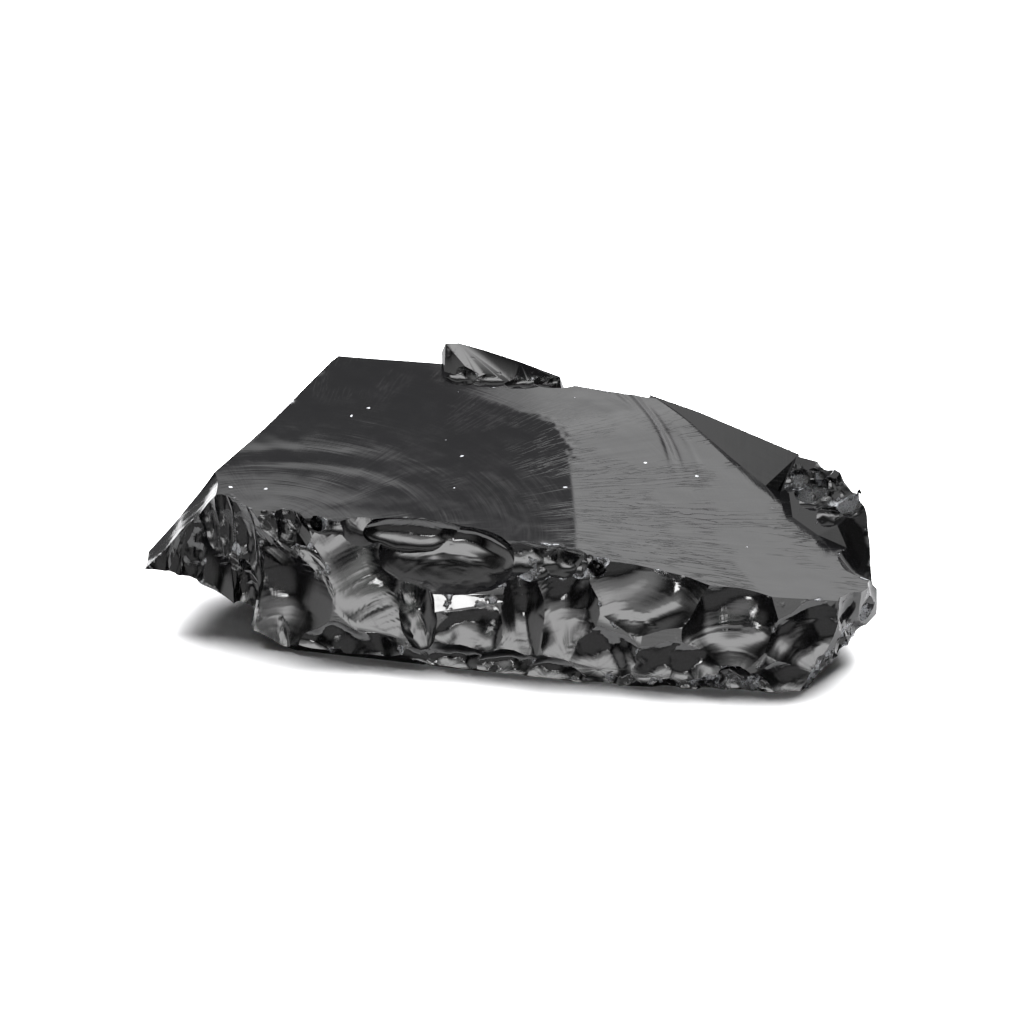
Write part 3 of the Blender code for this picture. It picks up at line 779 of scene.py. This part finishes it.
def black_glass():
    """Black glass with fine ripples, whitish where it is crushed."""
    made = bpy.data.materials.new("obsidian")
    made.use_nodes = True
    nodes = Nodes(made.node_tree)
    shader = made.node_tree.nodes["Principled BSDF"]

    place = nodes.stretch(nodes.add('ShaderNodeTexCoord').outputs["Object"], (1000.0,) * 3)
    fracture = nodes.add('ShaderNodeUVMap', uv_map="fracture").outputs["UV"]
    rib = nodes.add('ShaderNodeAttribute', attribute_name="rib").outputs["Fac"]
    grain = nodes.add('ShaderNodeAttribute', attribute_name="grain").outputs["Fac"]

    # fine ripples in rings, and hackle lines running outwards from the blow
    patches = nodes.ramp(nodes.noise(place, 0.22, 2.0), 0.40, 0.62)
    rings = nodes.noise(nodes.stretch(fracture, (2.4, 1.1, 1.0)), 1.0, 3.0, 0.6)
    rings = nodes.math('MULTIPLY', rings, nodes.math('ADD', nodes.math('MULTIPLY', patches, 0.8), 0.2))
    hackle = nodes.noise(nodes.stretch(fracture, (0.22, 42.0, 1.0)), 1.0, 3.0, 0.65)
    strands = nodes.ramp(nodes.noise(nodes.stretch(fracture, (0.09, 3.0, 1.0)), 1.0, 1.0), 0.42, 0.64)
    hackle = nodes.math('MULTIPLY', hackle, strands)
    normal = nodes.bump(rings, RING_BUMP)
    normal = nodes.bump(hackle, HACKLE_BUMP, normal)

    # torn lines, then the grit of crushed edges and crushed chips
    normal = nodes.bump(torn_lines(nodes, fracture), TORN_BUMP, normal)
    grit = nodes.noise(place, 9.0, 4.0, 0.7)
    patchy = nodes.noise(place, 0.5, 3.0, 0.6)
    crushed = nodes.math('MULTIPLY', rib, nodes.ramp(patchy, 0.56, 0.70))
    crumbly = nodes.math('MULTIPLY', nodes.ramp(grain, 1.2, 1.8), nodes.ramp(patchy, 0.44, 0.62))
    crushed = nodes.math('MAXIMUM', crushed, nodes.math('MULTIPLY', crumbly, 0.75))
    normal = nodes.bump(nodes.math('MULTIPLY', grit, crushed), GRIT_BUMP, normal)

    # glass roughness, a little uneven, rough where the edge is crushed
    haze = nodes.noise(place, 0.5, 3.0, 0.6)
    rough = nodes.ramp(haze, 0.35, 0.75, 0.06, 0.13)
    rough = nodes.math('ADD', rough, nodes.math('MULTIPLY', crushed, 0.35), clamp=True)

    # whitish where crushed, and pale specks of dust
    pale = nodes.ramp(nodes.math('MULTIPLY', crushed, nodes.ramp(grit, 0.35, 0.6, 0.25, 1.0)), 0.12, 0.6)
    pale = nodes.math('MAXIMUM', nodes.math('MULTIPLY', pale, 0.8),
                      dust_specks(nodes, place))
    tint = nodes.add('ShaderNodeMix', data_type='RGBA')
    nodes.wire(tint.inputs["Factor"], pale)
    for socket in tint.inputs:
        if socket.type == 'RGBA' and socket.name == "A":
            socket.default_value = GLASS_COLOUR
        if socket.type == 'RGBA' and socket.name == "B":
            socket.default_value = CRUSHED_COLOUR
    colour = [socket for socket in tint.outputs if socket.type == 'RGBA'][0]

    nodes.wire(shader.inputs["Base Color"], colour)
    nodes.wire(shader.inputs["Roughness"], rough)
    shader.inputs["IOR"].default_value = GLASS_IOR
    nodes.wire(shader.inputs["Normal"], normal)
    return made


def pale_floor_material():
    made = bpy.data.materials.new("pale_floor")
    made.use_nodes = True
    shader = made.node_tree.nodes["Principled BSDF"]
    shader.inputs["Base Color"].default_value = FLOOR_COLOUR
    shader.inputs["Roughness"].default_value = FLOOR_ROUGHNESS
    shader.inputs["Specular IOR Level"].default_value = 0.0
    return made


# ---------------------------------------------------------------- build
def build_stone():
    shown = new_collection("stone")
    tools = new_collection("stone tools")
    body = block(shown)
    strike(body, top_tool(tools), 'DIFFERENCE')
    for name, corners in (("back_rim", BACK_RIM), ("shoulder", SHOULDER), ("knob", KNOB)):
        strike(body, ridge(name, corners, tools), 'UNION')
    seed = 1000
    for name, scars, blow, height, spacing in GROUPS:
        back = name == "back"
        for k, scar in enumerate(scars):
            seed += 10
            ring_step, spoke_step = COARSE_STEPS if back else FINE_STEPS
            cutter = flake("%s_%d" % (name, k), scar, blow, height, spacing, ring_step,
                           spoke_step, seed, tools)
            strike(body, cutter, 'DIFFERENCE')
    strike(body, ridge("strip", STRIP, tools), 'DIFFERENCE')
    for k, scar in enumerate(chip_rows()):
        strike(body, crumb("crumb_%d" % k, scar, tools), 'DIFFERENCE')
    freeze(body)
    for old in list(tools.objects):
        bpy.data.objects.remove(old)
    bpy.data.collections.remove(tools)
    mark_ribs(body.data)
    shift = to_frame(body.data)
    body.data.materials.clear()
    body.data.materials.append(black_glass())
    for face, grain in zip(body.data.polygons, body.data.attributes["grain"].data):
        face.material_index = 0
        face.use_smooth = grain.value < CRUMB
    body.data.set_sharp_from_angle(angle=SHARP_ANGLE)
    return body, shift


FLOOR_HALF = 6.0    # metres


def build_floor():
    bm = bmesh.new()
    bmesh.ops.create_grid(bm, x_segments=8, y_segments=8, size=FLOOR_HALF)
    mesh = bpy.data.meshes.new("floor")
    bm.to_mesh(mesh)
    bm.free()
    floor = add_object("floor", mesh, bpy.context.scene.collection)
    floor.data.materials.append(pale_floor_material())


# ---------------------------------------------------------------- studio
def smooth_patch(nodes, across, up, patch):
    """Brightness of one soft-edged rectangle over the sheet's own coordinates, in metres."""
    u, v, half_u, half_v, edge, radiance = patch
    shares = []
    for coordinate, middle, half in ((across, u, half_u), (up, v, half_v)):
        off = nodes.math('ABSOLUTE', nodes.math('SUBTRACT', coordinate, middle))
        shares.append(nodes.ramp(off, half - edge, half + edge, 1.0, 0.0))
    return nodes.math('MULTIPLY', nodes.math('MULTIPLY', shares[0], shares[1]), radiance)


def glow_sheet(name, centre, facing, across, size, base, patches):
    """A studio wall or ceiling that glows in soft patches. Only reflections see it."""
    made = bpy.data.materials.new(name)
    made.use_nodes = True
    made.node_tree.nodes.clear()
    nodes = Nodes(made.node_tree)
    split = nodes.add('ShaderNodeSeparateXYZ')
    nodes.wire(split.inputs[0], nodes.add('ShaderNodeTexCoord').outputs["Object"])
    total = nodes.math('ADD', base, 0.0)
    for patch in patches:
        total = nodes.math('MAXIMUM', total,
                           smooth_patch(nodes, split.outputs["X"], split.outputs["Y"], patch))
    glow = nodes.add('ShaderNodeEmission')
    nodes.wire(glow.inputs["Strength"], total)
    output = nodes.add('ShaderNodeOutputMaterial')
    nodes.wire(output.inputs["Surface"], glow.outputs[0])

    bm = bmesh.new()
    bmesh.ops.create_grid(bm, x_segments=1, y_segments=1, size=0.5)
    bmesh.ops.scale(bm, vec=Vector((size[0], size[1], 1.0)), verts=bm.verts)
    mesh = bpy.data.meshes.new(name)
    bm.to_mesh(mesh)
    bm.free()
    sheet = add_object(name, mesh, bpy.context.scene.collection)
    sheet.data.materials.append(made)
    z = Vector(facing).normalized()
    x = Vector(across).normalized()
    sheet.matrix_world = (Matrix.Translation(centre)
                          @ Matrix((x, z.cross(x), z)).transposed().to_4x4())
    sheet.visible_camera = False
    sheet.visible_diffuse = False
    sheet.visible_shadow = False


# Each sheet: name, centre, facing, across, size, base brightness and patches, in metres.
# A patch is across, up, half sizes, soft edge and brightness.
SHEETS = [
    ("studio_back", (0.0, 0.60, 0.5), (0, -1, 0), (1, 0, 0), (2.2, 1.0), 0.26,
     [(0.38, -0.36, 0.72, 0.222, 0.03, 1.15), (0.36, -0.11, 0.33, 0.14, 0.06, 2.0),
      (0.36, -0.30, 0.33, 0.20, 0.05, 1.0)]),
    ("studio_over", (0.0, 0.0, 0.60), (0, 0, -1), (1, 0, 0), (1.8, 1.5), 0.12,
     [(0.0, 0.24, 0.36, 0.17, 0.10, 8.2), (0.0, 0.31, 0.40, 0.28, 0.17, 3.2),
      (-0.30, 0.69, 0.07, 0.045, 0.015, 26.0), (0.0, -0.38, 0.60, 0.20, 0.12, 1.1)]),
    ("studio_left", (-0.60, 0.0, 0.3), (1, 0, 0), (0, 1, 0), (1.6, 0.6), 0.05,
     [(0.02, 0.05, 0.42, 0.26, 0.12, 1.7)]),
    ("studio_front", (0.0, -0.75, 0.5), (0, 1, 0), (1, 0, 0), (2.0, 1.0), 0.05,
     [(0.0, 0.20, 0.55, 0.26, 0.12, 0.8)]),
]
LAMPS = [("floor_left", (-0.74, 1.33, 1.0)), ("floor_right", (0.74, 1.33, 1.0))]
LAMP_SIZE = 0.6
LAMP_BRIGHTNESS = 105.0
WORLD_GLOW = 0.06        # what light and reflections get from around the studio
BACKDROP_GLOW = 1.0      # what the camera sees behind the floor


def floor_lamp(name, place):
    """A soft lamp behind the stone, aimed at it. The glass doesn't reflect it."""
    lamp = bpy.data.lights.new(name, 'AREA')
    lamp.size = LAMP_SIZE
    lamp.energy = LAMP_BRIGHTNESS * math.pi * lamp.size ** 2
    made = add_object(name, lamp, bpy.context.scene.collection)
    made.location = place
    made.rotation_mode = 'QUATERNION'
    made.rotation_quaternion = (-made.location).to_track_quat('-Z', 'Y')
    made.visible_camera = False
    made.visible_glossy = False


def build_lights():
    for sheet in SHEETS:
        glow_sheet(*sheet)
    for name, place in LAMPS:
        floor_lamp(name, place)
    world = bpy.data.worlds.new("studio")
    bpy.context.scene.world = world
    world.use_nodes = True
    nodes = Nodes(world.node_tree)
    background = world.node_tree.nodes["Background"]
    background.inputs["Color"].default_value = (1.0, 1.0, 1.0, 1.0)
    seen = nodes.add('ShaderNodeLightPath').outputs["Is Camera Ray"]
    nodes.wire(background.inputs["Strength"],
               nodes.ramp(seen, 0.0, 1.0, WORLD_GLOW, BACKDROP_GLOW))


CAMERA_TARGET = Vector((0.0, 0.0, 8.0))
CAMERA_DISTANCE = 300.0
CAMERA_ELEVATION = math.radians(25.0)
CAMERA_LENS = 110.4
CAMERA_SENSOR = 36.0


def build_camera(shift):
    camera = bpy.data.cameras.new("camera")
    camera.lens = CAMERA_LENS
    camera.sensor_width = CAMERA_SENSOR
    camera.clip_start = 0.01
    camera.clip_end = 30.0
    made = add_object("camera", camera, bpy.context.scene.collection)
    away = Vector((0.0, -math.cos(CAMERA_ELEVATION), math.sin(CAMERA_ELEVATION)))
    made.location = (CAMERA_TARGET + away * CAMERA_DISTANCE) * MM + shift
    made.rotation_mode = 'QUATERNION'
    made.rotation_quaternion = (-away).to_track_quat('-Z', 'Y')
    bpy.context.scene.camera = made


stone, shift = build_stone()
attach(stone, "root")
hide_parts(NODE)
build_floor()
build_lights()
build_camera(shift)
bpy.context.scene.view_settings.view_transform = 'Standard'
bpy.context.scene.view_settings.look = 'None'
